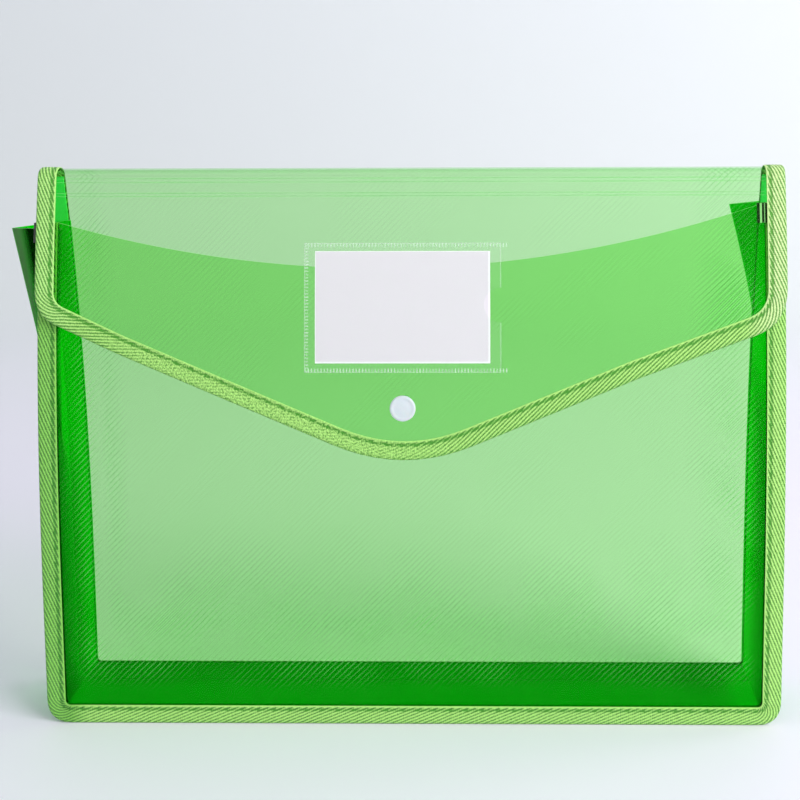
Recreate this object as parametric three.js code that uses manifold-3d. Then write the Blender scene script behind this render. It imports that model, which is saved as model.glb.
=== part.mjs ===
// Document pouch for A4 sheets, standing upright with its flap closed. Two leaves of translucent
// sheet are joined round three sides by a pleated gusset, and woven tape is folded over every seam.
// Millimetres. +X is to the right seen from the front, +Y runs to the back and +Z is up.
// The origin is on the floor, under the middle of the back seam.

import * as THREE from "three";
import { mergeVertices } from "three/addons/utils/BufferGeometryUtils.js";
import Module from "manifold-3d";

const wasm = await Module();
wasm.setup();

// Overall size
const WIDTH = 330;
const HEIGHT = 250;
const GUSSET_DEPTH = 40;

// Stock: sheet, gusset film, woven tape and the clearance left between two layers
const SHEET = 0.6;
const FILM = 0.5;
const TAPE = 0.5;
const TAPE_FACE = 8.5;
const GAP = 0.3;

// Side view of a leaf: upright near the floor, leaning in towards the fold
const UPRIGHT_BELOW = 40;
const LEAN_POWER = 2.5;
const LEAN_STEPS = 16;

// Layers of a seam, counted outward from the clear space: tape, gusset film, sheet, tape
const FILM_MIDDLE = TAPE + GAP + FILM / 2;
const SHEET_MIDDLE = TAPE + GAP + FILM + GAP + SHEET / 2;
const SEAM = SHEET_MIDDLE + SHEET / 2 + GAP + TAPE;
const TAPE_FROM_SHEET = SHEET / 2 + GAP + TAPE;

// The fold over the top, and where the flap's sheet hangs in front of the front leaf
const FOLD_START = HEIGHT - 4.5;
const FOLD_STEPS = 5;
const FLAP_MIDDLE = 5.7;
const CREASE_Z = HEIGHT + GAP;

// Outline of a leaf. Tape goes round a corner tighter than MITRED_BELOW as a mitre
const LEAF_CORNER_RADIUS = 11;
const MITRED_BELOW = 3;
const FRONT_TOP_LEFT = 225.5;
const FRONT_TOP_RIGHT = 233.5;
const FRONT_TOP_MIDDLE = 205.4;

// Outline of the flap, from its left side round the tip to its right side
const HALF_WIDTH = WIDTH / 2;
const FLAP_CORNERS = [
  { x: -HALF_WIDTH, z: 185.6, radius: 16 },
  { x: -129, z: 169, radius: 60 },
  { x: -3, z: 115.8, radius: 80 },
  { x: 100, z: 157.8, radius: 60 },
  { x: HALF_WIDTH, z: 181.5, radius: 22 },
];
const SCORE_HEIGHTS = [244.9, 243.3, 238.5, 237.2];
const SCORE_WIDTH = 0.8;
const SCORE_DEPTH = 0.2;

// Side gussets: the pleat is deepest at the mouth and fades out below it
const GUSSET_TURN = 0.8;
const PLEAT_TIP_ROUNDNESS = 0.15;
const LEFT_PLEAT = {
  reach: 24.3,
  direction: 1,
  top: FRONT_TOP_LEFT,
  tipDrop: 3,
  fadesAt: 99,
  easing: 1,
};
const RIGHT_PLEAT = {
  reach: 13.6,
  direction: -1,
  top: FRONT_TOP_RIGHT,
  tipDrop: 1,
  fadesAt: 170,
  easing: 1.25,
};
const GUSSET_STEPS = 14;
const PLEAT_STEPS = 12;
const BOTTOM_FLANGE = 4;

// Label pocket on the flap, whose fittings all sit a little left of the pouch's middle
const FITTINGS_X = -3;
const WINDOW = { width: 86.3, height: 56.2, middle: 188.7, film: 0.4, weld: 2 };
const THUMB_NOTCH = { radius: 7.6, z: 190 };
const CARD = { width: 76.7, height: 48.6, middle: 189, thickness: 0.3 };

// Snap fastener and seam clips
const SNAP_Z = 145;
const SNAP_SIDES = 32;
const CAP_POST_RADIUS = 1.3;
const STUD_POST_RADIUS = 1;
const CLIP = { width: 13.1, leftWidth: 9, leftProud: 1.5, backWidth: 6.2, height: 8.6, metal: 0.4 };
const CLIP_RIBS = [
  { from: 1.1, width: 1.1 },
  { from: 3, width: 0.7 },
];
const CLIP_RIB_RISE = 0.4;

const SEAM_INNER_X = HALF_WIDTH - TAPE_FACE;

const finish = (color, roughness, metalness = 0, opacity = 1) =>
  new THREE.MeshStandardMaterial({ color, roughness, metalness, opacity, transparent: opacity < 1 });

const clearSheet = () => finish("#97d992", 0.4, 0, 0.55);
const gussetFilm = () => finish("#0a9614", 0.35, 0, 0.9);
const wovenTape = () => finish("#b4dd80", 0.85);
const bareMetal = () => finish("#a9aba6", 0.3, 1);
const whitePlastic = () => finish("#e8eef8", 0.35);

// Booleans: geometries become solids, and the result becomes a geometry again

function solidFrom(geometry) {
  const bare = geometry.clone();
  bare.deleteAttribute("normal");
  bare.deleteAttribute("uv");
  const merged = mergeVertices(bare, 1e-4);
  return new wasm.Manifold(
    new wasm.Mesh({
      numProp: 3,
      vertProperties: new Float32Array(merged.attributes.position.array),
      triVerts: new Uint32Array(merged.index.array),
    }),
  );
}

function geometryFrom(solid) {
  const { vertProperties, triVerts } = solid.getMesh();
  const geometry = new THREE.BufferGeometry();
  geometry.setAttribute("position", new THREE.BufferAttribute(vertProperties, 3));
  geometry.setIndex(new THREE.BufferAttribute(triVerts, 1));
  geometry.computeVertexNormals();
  return geometry;
}

function named(name, geometry, material) {
  const mesh = new THREE.Mesh(geometry, material);
  mesh.name = name;
  return mesh;
}

const namedSolid = (name, solid, material) => named(name, geometryFrom(solid), material);

// Side view: half of the clear depth between the leaves at height z

function clearHalf(z) {
  const down = THREE.MathUtils.clamp((HEIGHT - z) / (HEIGHT - UPRIGHT_BELOW), 0, 1);
  return (GUSSET_DEPTH / 2) * (1 - (1 - down) ** LEAN_POWER);
}

// Heights at which a leaf's side view has a point, from the floor up
function leafHeights(top) {
  const heights = [-5];
  for (let i = 0; i <= LEAN_STEPS; i += 1) {
    heights.push(UPRIGHT_BELOW + ((top - UPRIGHT_BELOW) * i) / LEAN_STEPS);
  }
  return heights;
}

// Paths in side view hold (y, z) points and run so that the pouch's outside is on their left

const frontPath = leafHeights(FOLD_START).map((z) => new THREE.Vector2(-clearHalf(z), z));

const foldFront = -(clearHalf(FOLD_START) + FLAP_MIDDLE);
const foldBack = clearHalf(FOLD_START) + SHEET_MIDDLE;
const CREASE_Y = (foldFront + foldBack) / 2;
const foldReach = (foldBack - foldFront) / 2;
const foldRise = HEIGHT - TAPE_FROM_SHEET - FOLD_START;

// A quarter of the fold, side -1 in front of the crease and 1 behind it, ending half a gap from it
function foldQuarter(side) {
  const points = [];
  const last = Math.PI / 2 - GAP / 2 / foldReach;
  for (let i = 1; i <= FOLD_STEPS; i += 1) {
    const angle = (last * i) / FOLD_STEPS;
    const y = CREASE_Y + side * foldReach * Math.cos(angle);
    points.push(new THREE.Vector2(y, FOLD_START + foldRise * Math.sin(angle)));
  }
  return points;
}

const flapPath = leafHeights(FOLD_START)
  .map((z) => new THREE.Vector2(-(clearHalf(z) + FLAP_MIDDLE), z))
  .concat(foldQuarter(-1));

const backPath = leafHeights(FOLD_START)
  .map((z) => new THREE.Vector2(clearHalf(z) + SHEET_MIDDLE, z))
  .concat(foldQuarter(1))
  .reverse();

function offsetPath(path, distance) {
  return path.map((point, i) => {
    const before = path[Math.max(i - 1, 0)];
    const after = path[Math.min(i + 1, path.length - 1)];
    const along = after.clone().sub(before).normalize();
    return new THREE.Vector2(point.x - along.y * distance, point.y + along.x * distance);
  });
}

// A layer that follows a side view path between two distances from it, wider than the pouch
function layer(path, from, to) {
  const outer = offsetPath(path, to);
  const inner = offsetPath(path, from).reverse();
  const section = new THREE.Shape([...outer, ...inner]);
  const geometry = new THREE.ExtrudeGeometry(section, { depth: 2 * WIDTH, bevelEnabled: false });
  geometry.translate(0, 0, -WIDTH);
  const axes = new THREE.Matrix4().makeBasis(
    new THREE.Vector3(0, 1, 0),
    new THREE.Vector3(0, 0, 1),
    new THREE.Vector3(1, 0, 0),
  );
  return solidFrom(geometry.applyMatrix4(axes));
}

// A front view outline of (x, z) points, run through the whole depth of the pouch
function throughDepth(outline) {
  const geometry = new THREE.ExtrudeGeometry(outline, {
    depth: 4 * GUSSET_DEPTH,
    bevelEnabled: false,
    curveSegments: 10,
  });
  geometry.translate(0, 0, -2 * GUSSET_DEPTH);
  const axes = new THREE.Matrix4().makeBasis(
    new THREE.Vector3(1, 0, 0),
    new THREE.Vector3(0, 0, 1),
    new THREE.Vector3(0, -1, 0),
  );
  return solidFrom(geometry.applyMatrix4(axes));
}

// Front view outlines

// The corners of a polygon that runs anticlockwise, moved in by the same distance on every side
function insetCorners(corners, inset) {
  const count = corners.length;
  const edges = corners.map((corner, i) => {
    const along = corners[(i + 1) % count].clone().sub(corner).normalize();
    const inward = new THREE.Vector2(-along.y, along.x);
    return { start: corner.clone().addScaledVector(inward, inset), along };
  });
  return edges.map((edge, i) => {
    const previous = edges[(i + count - 1) % count];
    const between = edge.start.clone().sub(previous.start);
    const reach = between.cross(edge.along) / previous.along.cross(edge.along);
    return previous.start.clone().addScaledVector(previous.along, reach);
  });
}

function roundedOutline(corners, radii) {
  const count = corners.length;
  const shape = new THREE.Shape();
  corners.forEach((corner, i) => {
    const before = corners[(i + count - 1) % count].clone().sub(corner).normalize();
    const after = corners[(i + 1) % count].clone().sub(corner).normalize();
    const halfAngle = before.angleTo(after) / 2;
    const reach = radii[i] / Math.tan(halfAngle);
    const start = corner.clone().addScaledVector(before, reach);
    const end = corner.clone().addScaledVector(after, reach);
    if (i === 0) {
      shape.moveTo(start.x, start.y);
    } else {
      shape.lineTo(start.x, start.y);
    }
    if (radii[i] > 0) {
      shape.quadraticCurveTo(corner.x, corner.y, end.x, end.y);
    }
  });
  shape.closePath();
  return shape;
}

function insetOutline(corners, radii, inset) {
  const inner = radii.map((radius) => (radius - inset > MITRED_BELOW ? radius - inset : 0));
  return roundedOutline(insetCorners(corners, inset), inner);
}

const ABOVE_ALL = HEIGHT + 60;

function leafOutline(inset) {
  const corners = [
    new THREE.Vector2(HALF_WIDTH, ABOVE_ALL),
    new THREE.Vector2(-HALF_WIDTH, ABOVE_ALL),
    new THREE.Vector2(-HALF_WIDTH, 0),
    new THREE.Vector2(HALF_WIDTH, 0),
  ];
  return insetOutline(corners, [0, 0, LEAF_CORNER_RADIUS, LEAF_CORNER_RADIUS], inset);
}

function flapOutline(inset) {
  const corners = [
    new THREE.Vector2(HALF_WIDTH, ABOVE_ALL),
    new THREE.Vector2(-HALF_WIDTH, ABOVE_ALL),
    ...FLAP_CORNERS.map((corner) => new THREE.Vector2(corner.x, corner.z)),
  ];
  return insetOutline(corners, [0, 0, ...FLAP_CORNERS.map((corner) => corner.radius)], inset);
}

// Everything below the front leaf's top, whose side seams end at two heights
function belowFrontTop() {
  const shape = new THREE.Shape();
  shape.moveTo(-WIDTH, -HEIGHT);
  shape.lineTo(WIDTH, -HEIGHT);
  shape.lineTo(WIDTH, FRONT_TOP_RIGHT);
  shape.lineTo(0, FRONT_TOP_RIGHT);
  shape.lineTo(0, FRONT_TOP_LEFT);
  shape.lineTo(-WIDTH, FRONT_TOP_LEFT);
  shape.closePath();
  return shape;
}

// The same with the shallow hollow cut into the front sheet, where papers are gripped
function belowFrontHollow() {
  const dip = 2 * FRONT_TOP_MIDDLE - (FRONT_TOP_LEFT + FRONT_TOP_RIGHT) / 2;
  const shape = new THREE.Shape();
  shape.moveTo(-WIDTH, -HEIGHT);
  shape.lineTo(WIDTH, -HEIGHT);
  shape.lineTo(WIDTH, FRONT_TOP_RIGHT);
  shape.lineTo(SEAM_INNER_X, FRONT_TOP_RIGHT);
  shape.quadraticCurveTo(0, dip, -SEAM_INNER_X, FRONT_TOP_LEFT);
  shape.lineTo(-WIDTH, FRONT_TOP_LEFT);
  shape.closePath();
  return shape;
}

function rectangle(left, right, bottom, top) {
  const shape = new THREE.Shape();
  shape.moveTo(left, bottom);
  shape.lineTo(right, bottom);
  shape.lineTo(right, top);
  shape.lineTo(left, top);
  shape.closePath();
  return shape;
}

// Tape folded over an edge: two faces and the turn that joins them outside the sheet's edge
function foldedTape(path, from, to, outline) {
  const faces = layer(path, from, to)
    .intersect(throughDepth(outline(0)))
    .subtract(throughDepth(outline(TAPE_FACE)));
  const room = layer(path, from + TAPE, to - TAPE).intersect(throughDepth(outline(TAPE)));
  return faces.subtract(room);
}

// Where a fastener sits: the direction out of the leaf at its height, and a point on that leaf

function outwardAt(z) {
  const slope = clearHalf(z + 0.5) - clearHalf(z - 0.5);
  return new THREE.Vector3(0, -1, -slope).normalize();
}

function seatOn(object, z, middle) {
  object.position.set(FITTINGS_X, -(clearHalf(z) + middle), z);
  object.quaternion.setFromUnitVectors(new THREE.Vector3(0, 1, 0), outwardAt(z));
  return object;
}

function holeAt(z, middle, radius) {
  const drill = new THREE.Mesh(new THREE.CylinderGeometry(radius, radius, 6, 20));
  seatOn(drill, z, middle).updateMatrix();
  return solidFrom(drill.geometry.applyMatrix4(drill.matrix));
}

function turned(profile) {
  const points = profile.map(([radius, height]) => new THREE.Vector2(radius, height));
  return new THREE.LatheGeometry(points, SNAP_SIDES);
}

// Sheets

function backPanel() {
  const sheet = layer(backPath, -SHEET / 2, SHEET / 2);
  return sheet.intersect(throughDepth(leafOutline(TAPE + GAP)));
}

function frontPanel() {
  return layer(frontPath, SHEET_MIDDLE - SHEET / 2, SHEET_MIDDLE + SHEET / 2)
    .intersect(throughDepth(leafOutline(TAPE + GAP)))
    .intersect(throughDepth(belowFrontHollow()))
    .subtract(holeAt(SNAP_Z, SHEET_MIDDLE, STUD_POST_RADIUS + GAP));
}

function scoreLine(z) {
  const face = FLAP_MIDDLE + SHEET / 2;
  const cutter = new THREE.Mesh(new THREE.BoxGeometry(2 * WIDTH, 2 * SCORE_DEPTH, SCORE_WIDTH));
  seatOn(cutter, z, face).updateMatrix();
  return solidFrom(cutter.geometry.applyMatrix4(cutter.matrix));
}

function flapPanel() {
  const blank = layer(flapPath, -SHEET / 2, SHEET / 2)
    .intersect(throughDepth(flapOutline(TAPE + GAP)))
    .subtract(holeAt(SNAP_Z, FLAP_MIDDLE, CAP_POST_RADIUS + GAP));
  return SCORE_HEIGHTS.reduce((sheet, z) => sheet.subtract(scoreLine(z)), blank);
}

// Woven tape

function backBinding() {
  return foldedTape(backPath, -SHEET_MIDDLE, TAPE_FROM_SHEET, leafOutline);
}

function frontBinding() {
  return foldedTape(frontPath, 0, SEAM, leafOutline).intersect(throughDepth(belowFrontTop()));
}

function flapBinding() {
  return foldedTape(flapPath, -TAPE_FROM_SHEET, TAPE_FROM_SHEET, flapOutline);
}

// Side gussets, lofted upwards from one plan section to the next

// How far out of the straight wall the film is at a share of the way across, 0 at both seams
function pleatShape(across) {
  const fromMiddle = Math.abs(2 * across - 1);
  const blunt = PLEAT_TIP_ROUNDNESS;
  const full = Math.sqrt(1 + blunt ** 2);
  return (full - Math.sqrt(fromMiddle ** 2 + blunt ** 2)) / (full - blunt);
}

// Plan section at height z: front flange, turn round the tape, pleated wall, back flange.
// Each point has its distance beyond the seam's inner edge and its y; lift is its share of the tip.
function gussetSection(pleat, z) {
  const fade = THREE.MathUtils.clamp((z - pleat.fadesAt) / (pleat.top - pleat.fadesAt), 0, 1);
  const reach = pleat.reach * fade ** pleat.easing * pleat.direction;
  const flangeY = clearHalf(z) + FILM_MIDDLE;
  const wallY = clearHalf(z) - FILM_MIDDLE / 2;
  const flangeEnd = TAPE_FACE - TAPE - GAP - 0.2;
  const points = [
    { beyond: flangeEnd, y: -flangeY, lift: 0 },
    { beyond: -GUSSET_TURN, y: -flangeY, lift: 0 },
  ];
  for (let i = 0; i <= PLEAT_STEPS; i += 1) {
    const across = i / PLEAT_STEPS;
    const lift = pleatShape(across);
    points.push({ beyond: -GUSSET_TURN + reach * lift, y: wallY * (2 * across - 1), lift });
  }
  points.push({ beyond: -GUSSET_TURN, y: flangeY, lift: 0 });
  points.push({ beyond: flangeEnd, y: flangeY, lift: 0 });
  return points;
}

// A closed sheet between two grids of points, rows running up and columns running across
function sheetBetween(inside, outside) {
  const rows = inside.length;
  const columns = inside[0].length;
  const positions = [...inside.flat(), ...outside.flat()].flatMap((point) => point.toArray());
  const at = (side, row, column) => (side * rows + row) * columns + column;
  const triangles = [];
  const quad = (a, b, c, d) => triangles.push(a, b, c, a, c, d);
  for (let row = 0; row < rows - 1; row += 1) {
    for (let column = 0; column < columns - 1; column += 1) {
      for (const side of [0, 1]) {
        const low = [at(side, row, column), at(side, row, column + 1)];
        const high = [at(side, row + 1, column), at(side, row + 1, column + 1)];
        if (side === 0) {
          quad(low[0], low[1], high[1], high[0]);
        } else {
          quad(low[1], low[0], high[0], high[1]);
        }
      }
    }
    const end = columns - 1;
    quad(at(1, row, 0), at(0, row, 0), at(0, row + 1, 0), at(1, row + 1, 0));
    quad(at(0, row, end), at(1, row, end), at(1, row + 1, end), at(0, row + 1, end));
  }
  for (let column = 0; column < columns - 1; column += 1) {
    const end = rows - 1;
    quad(at(1, 0, column), at(1, 0, column + 1), at(0, 0, column + 1), at(0, 0, column));
    quad(at(0, end, column), at(0, end, column + 1), at(1, end, column + 1), at(1, end, column));
  }
  const geometry = new THREE.BufferGeometry();
  geometry.setAttribute("position", new THREE.Float32BufferAttribute(positions, 3));
  geometry.setIndex(triangles);
  geometry.computeVertexNormals();
  return geometry;
}

// side is -1 for the left gusset and 1 for the right one
function sideGusset(pleat, side) {
  const bottom = TAPE_FACE + GAP + FILM + GAP;
  const inside = [];
  const outside = [];
  for (let row = 0; row <= GUSSET_STEPS; row += 1) {
    const share = row / GUSSET_STEPS;
    const section = gussetSection(pleat, bottom + (pleat.top - bottom) * share);
    const line = section.map((point) => new THREE.Vector2(SEAM_INNER_X + point.beyond, point.y));
    const heights = section.map((point) => {
      const top = pleat.top - pleat.tipDrop * point.lift;
      return bottom + (top - bottom) * share;
    });
    const raised = (plan) => plan.map((p, i) => new THREE.Vector3(side * p.x, p.y, heights[i]));
    inside.push(raised(offsetPath(line, (side * FILM) / 2)));
    outside.push(raised(offsetPath(line, (-side * FILM) / 2)));
  }
  return sheetBetween(outside, inside);
}

// The bottom gusset is one channel of film: a floor with a short flange down into each seam
function bottomGusset() {
  const floor = TAPE_FACE + GAP + FILM / 2;
  const seamY = GUSSET_DEPTH / 2 + FILM_MIDDLE;
  const flangeEnd = floor - BOTTOM_FLANGE;
  const section = [
    new THREE.Vector2(-seamY, flangeEnd),
    new THREE.Vector2(-seamY, floor),
    new THREE.Vector2(seamY, floor),
    new THREE.Vector2(seamY, flangeEnd),
  ];
  const outer = section.map((p) => p.clone().add(new THREE.Vector2((Math.sign(p.x) * FILM) / 2, 0)));
  const inner = section.map((p) => p.clone().sub(new THREE.Vector2((Math.sign(p.x) * FILM) / 2, 0)));
  [outer[1], outer[2]].forEach((p) => p.setY(floor + FILM / 2));
  [inner[1], inner[2]].forEach((p) => p.setY(floor - FILM / 2));
  const shape = new THREE.Shape([...outer, ...inner.reverse()]);
  const length = 2 * (SEAM_INNER_X - GUSSET_TURN);
  const geometry = new THREE.ExtrudeGeometry(shape, { depth: length, bevelEnabled: false });
  geometry.translate(0, 0, -length / 2);
  const axes = new THREE.Matrix4().makeBasis(
    new THREE.Vector3(0, 1, 0),
    new THREE.Vector3(0, 0, 1),
    new THREE.Vector3(1, 0, 0),
  );
  return geometry.applyMatrix4(axes);
}

// Label pocket: a clear film welded to the flap on three sides, open to the right for the card

function labelWindow() {
  const left = FITTINGS_X - WINDOW.width / 2;
  const right = FITTINGS_X + WINDOW.width / 2;
  const low = WINDOW.middle - WINDOW.height / 2;
  const high = WINDOW.middle + WINDOW.height / 2;
  const seat = SHEET / 2 + GAP;
  const under = seat + CARD.thickness + GAP;
  const blank = rectangle(left, right, low, high);
  const pocket = rectangle(left + WINDOW.weld, WIDTH, low + WINDOW.weld, high - WINDOW.weld);
  const notch = new THREE.Shape();
  notch.absarc(right, THUMB_NOTCH.z, THUMB_NOTCH.radius, 0, 2 * Math.PI);
  return layer(flapPath, seat, under + WINDOW.film)
    .intersect(throughDepth(blank))
    .subtract(layer(flapPath, seat - GAP, under).intersect(throughDepth(pocket)))
    .subtract(throughDepth(notch));
}

function labelCard() {
  const seat = SHEET / 2 + GAP;
  const left = FITTINGS_X - CARD.width / 2;
  const low = CARD.middle - CARD.height / 2;
  const outline = rectangle(left, left + CARD.width, low, low + CARD.height);
  return layer(flapPath, seat, seat + CARD.thickness).intersect(throughDepth(outline));
}

// Snap fastener, turned about its own axis, heights counted from the middle of the sheet it is in

function snapCap() {
  const profile = [
    [0, -1],
    [CAP_POST_RADIUS, -1],
    [CAP_POST_RADIUS, 0.6],
    [5.45, 0.6],
    [5.7, 0.85],
    [5.7, 1.2],
    [5.4, 1.55],
    [4.6, 1.75],
    [2.4, 1.85],
    [0, 1.9],
  ];
  return seatOn(named("snap_cap", turned(profile), whitePlastic()), SNAP_Z, FLAP_MIDDLE);
}

function snapSocket() {
  const hole = CAP_POST_RADIUS + GAP;
  const profile = [
    [hole, -1.1],
    [2.6, -1.1],
    [2.6, -2.4],
    [4.6, -2.4],
    [5, -2],
    [5, -1],
    [4.6, -0.6],
    [hole, -0.6],
    [hole, -1.1],
  ];
  return seatOn(named("snap_socket", turned(profile), whitePlastic()), SNAP_Z, FLAP_MIDDLE);
}

function snapStud() {
  const profile = [
    [0, 0.6],
    [4.6, 0.6],
    [4.8, 0.8],
    [4.6, 1.1],
    [1.5, 1.1],
    [1.5, 1.6],
    [1.9, 1.9],
    [1.9, 2.15],
    [1.6, 2.4],
    [0, 2.4],
  ];
  return seatOn(named("snap_stud", turned(profile), whitePlastic()), SNAP_Z, SHEET_MIDDLE);
}

function snapStudBase() {
  const profile = [
    [0, -1.4],
    [3.6, -1.3],
    [4.6, -1],
    [4.8, -0.6],
    [STUD_POST_RADIUS, -0.6],
    [STUD_POST_RADIUS, 0.3],
    [0, 0.3],
  ];
  return seatOn(named("snap_stud_base", turned(profile), whitePlastic()), SNAP_Z, SHEET_MIDDLE);
}

// Metal clip pressed round the open end of a front side seam, side -1 left and 1 right.
// The left one sits a little proud of the tape and doesn't reach past it.
function seamClip(side, top) {
  const outerX = HALF_WIDTH + GAP + CLIP.metal + (side < 0 ? CLIP.leftProud : 0);
  const width = side < 0 ? CLIP.leftWidth : CLIP.width;
  const low = top - CLIP.height;
  const span = (from, to) =>
    throughDepth(rectangle(Math.min(side * from, side * to), Math.max(side * from, side * to), low, top));
  const body = layer(frontPath, -GAP - CLIP.metal, SEAM + GAP + CLIP.metal)
    .intersect(span(outerX - width, outerX));
  const room = layer(frontPath, -GAP, SEAM + GAP).intersect(span(0, outerX - CLIP.metal));
  const openBack = layer(frontPath, -2, 0).intersect(span(0, outerX - CLIP.backWidth));
  const ribBase = SEAM + GAP + CLIP.metal;
  const edge = outerX - width;
  const ribs = CLIP_RIBS.map((rib) =>
    layer(frontPath, ribBase - 0.2, ribBase + CLIP_RIB_RISE)
      .intersect(span(edge + rib.from, edge + rib.from + rib.width)),
  );
  return ribs.reduce((clip, rib) => clip.add(rib), body.subtract(room).subtract(openBack));
}

const backLeaf = new THREE.Group();
backLeaf.add(
  namedSolid("back_panel", backPanel(), clearSheet()),
  namedSolid("back_binding", backBinding(), wovenTape()),
  named("left_gusset", sideGusset(LEFT_PLEAT, -1), gussetFilm()),
  named("right_gusset", sideGusset(RIGHT_PLEAT, 1), gussetFilm()),
  named("bottom_gusset", bottomGusset(), gussetFilm()),
);

const frontLeaf = new THREE.Group();
frontLeaf.add(
  namedSolid("front_panel", frontPanel(), clearSheet()),
  namedSolid("front_binding", frontBinding(), wovenTape()),
  namedSolid("left_clip", seamClip(-1, FRONT_TOP_LEFT), bareMetal()),
  namedSolid("right_clip", seamClip(1, FRONT_TOP_RIGHT), bareMetal()),
  snapStud(),
  snapStudBase(),
);

const flap = new THREE.Group();
flap.add(
  namedSolid("flap_panel", flapPanel(), clearSheet()),
  namedSolid("flap_binding", flapBinding(), wovenTape()),
  namedSolid("label_window", labelWindow(), finish("#b6e6b2", 0.3, 0, 0.35)),
  namedSolid("label_card", labelCard(), finish("#e9e9ec", 0.8)),
  snapCap(),
  snapSocket(),
);

// The two leaves and the flap share one upright frame, moved so that the back seam stands on y = 0
const pouch = new THREE.Group();
pouch.add(backLeaf, frontLeaf, flap);
pouch.position.y = -(GUSSET_DEPTH / 2 + SEAM / 2);

console.log(`flap crease at y ${(CREASE_Y + pouch.position.y).toFixed(2)}, z ${CREASE_Z.toFixed(2)}`);

export default pouch;
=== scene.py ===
"""Document pouch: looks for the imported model.

Every length in the shape code is in millimetres, counted from the middle of the pouch's depth.
place() turns it into the frame's metres.
"""

import math

import bmesh
import bpy
import numpy as np
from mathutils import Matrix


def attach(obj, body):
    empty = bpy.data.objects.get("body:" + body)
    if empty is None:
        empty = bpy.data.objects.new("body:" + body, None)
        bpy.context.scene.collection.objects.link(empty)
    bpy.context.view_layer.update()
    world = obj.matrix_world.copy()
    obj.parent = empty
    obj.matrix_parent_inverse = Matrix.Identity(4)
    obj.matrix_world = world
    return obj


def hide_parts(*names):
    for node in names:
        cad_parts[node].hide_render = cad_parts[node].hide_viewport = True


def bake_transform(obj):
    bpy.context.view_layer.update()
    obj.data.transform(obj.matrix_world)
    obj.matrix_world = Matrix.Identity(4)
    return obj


bl_info = {
    "name": "Document Pouch",
    "version": (1, 0, 0),
    "blender": (4, 5, 0),
    "location": "View3D > Sidebar > Pouch",
    "description": "Builds the pieces of a translucent document pouch round its packed frame",
    "category": "Object",
}

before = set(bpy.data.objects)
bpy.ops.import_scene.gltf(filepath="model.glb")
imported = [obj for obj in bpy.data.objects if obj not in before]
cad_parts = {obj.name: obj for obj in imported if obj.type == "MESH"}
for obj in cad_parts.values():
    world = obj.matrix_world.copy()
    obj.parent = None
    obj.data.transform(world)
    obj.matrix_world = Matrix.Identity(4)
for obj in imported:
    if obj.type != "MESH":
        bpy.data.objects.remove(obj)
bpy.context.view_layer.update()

# The pouch, in mm, as the frame has it
HALF_WIDTH = 165
HEIGHT = 250
HALF_DEPTH = 20
BACK_SEAM_Y = -21.5
UPRIGHT_BELOW = 40
LEAN_POWER = 2.5

# Layers, counted outward from the clear space
SHEET_MIDDLE = 1.9
FILM_MIDDLE = 1.05
SEAM = 3.0
FLAP_MIDDLE = 5.7
TAPE = 0.5
TAPE_FACE = 8.5
SHEET_FOOT = 0.9
FLAP_TAPE_INNER = FLAP_MIDDLE - 1.1
FLAP_TAPE_OUTER = FLAP_MIDDLE + 1.1
FLAP_SHEET_INSET = 1.5
FLAP_TAPE_SHORTER = 0.7  # under the flap, so that its lining doesn't show through the sheet

# The fold over the top: a half ellipse from the front to the back
FOLD_START = 245.5
CREASE_Y = -1.9
FOLD_REACH = 4.854
FOLD_RISE = 3.4
FOLD_QUARTER = 6.55
FOLD_END = FOLD_START + 2 * FOLD_QUARTER

FRONT_TOP_LEFT = 225.5
FRONT_TOP_RIGHT = 233.5
FRONT_TOP_MIDDLE = 205.4
LEAF_CORNER = 11
FLAP_CORNERS = [
    (-HALF_WIDTH, 185.6, 16),
    (-129, 169, 60),
    (-3, 115.8, 80),
    (100, 157.8, 60),
    (HALF_WIDTH, 181.5, 22),
]
SCORES = (244.9, 243.3, 238.5, 237.2)

FITTINGS_X = -3
SNAP_Z = 145
WINDOW = {"left": -46.15, "right": 40.15, "low": 160.6, "high": 216.8, "weld": 2.0}
NOTCH = {"z": 190, "radius": 7.6}
CARD = {"left": -41.35, "right": 35.35, "low": 164.7, "high": 213.3}

# The pocket's layers, counted outward from the middle of the flap's sheet
CARD_INNER = 0.6
CARD_OUTER = 0.9
POCKET_SEAT = 0.34
POCKET_FILM = 0.35
POCKET_RISE = 0.86
WELD_SEAT = 0.66
WELD_HEIGHT = 0.22

# Each pleat reaches out (or in, below 0) at its top, by less and less down to where it fades.
# Its crease lies lower than its seams by drop, and its front half lower by slump.
LEFT_PLEAT = {"side": -1, "reach": 24.3, "top": FRONT_TOP_LEFT, "drop": 3, "slump": 3}
LEFT_PLEAT.update({"fades": 99, "easing": 1})
RIGHT_PLEAT = {"side": 1, "reach": -13.6, "top": FRONT_TOP_RIGHT, "drop": 1, "slump": 0}
RIGHT_PLEAT.update({"fades": 170, "easing": 1.25})
GUSSET_FLOOR = 9.05
GUSSET_TURN = 0.8
FLOOR_BEND = 1.0

# Patterns, in mm
SCORE_HALF = 0.22
RIB_LEAN = 2.36
WEFT_PITCH = 0.9  # drawn coarser than the real 0.4 mm, so that it shows
SEWN_AT = 1.9
PLASTIC_IOR = 1.49

# The photograph's camera: focal length and shift in pixels, place in mm, turn in radians
PHOTO = 800
FOCAL = 1252.8
SHIFT = (-75, -160)
STANDPOINT = (37.72, -558.66, 277.68)
TURN = (math.pi / 2 - 0.109, 0.004, 0.016)

# The paper sweep, in metres
SWEEP = {"front": -1.6, "bend": 0.9, "radius": 0.5, "top": 2.4, "half": 2.2}


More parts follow.
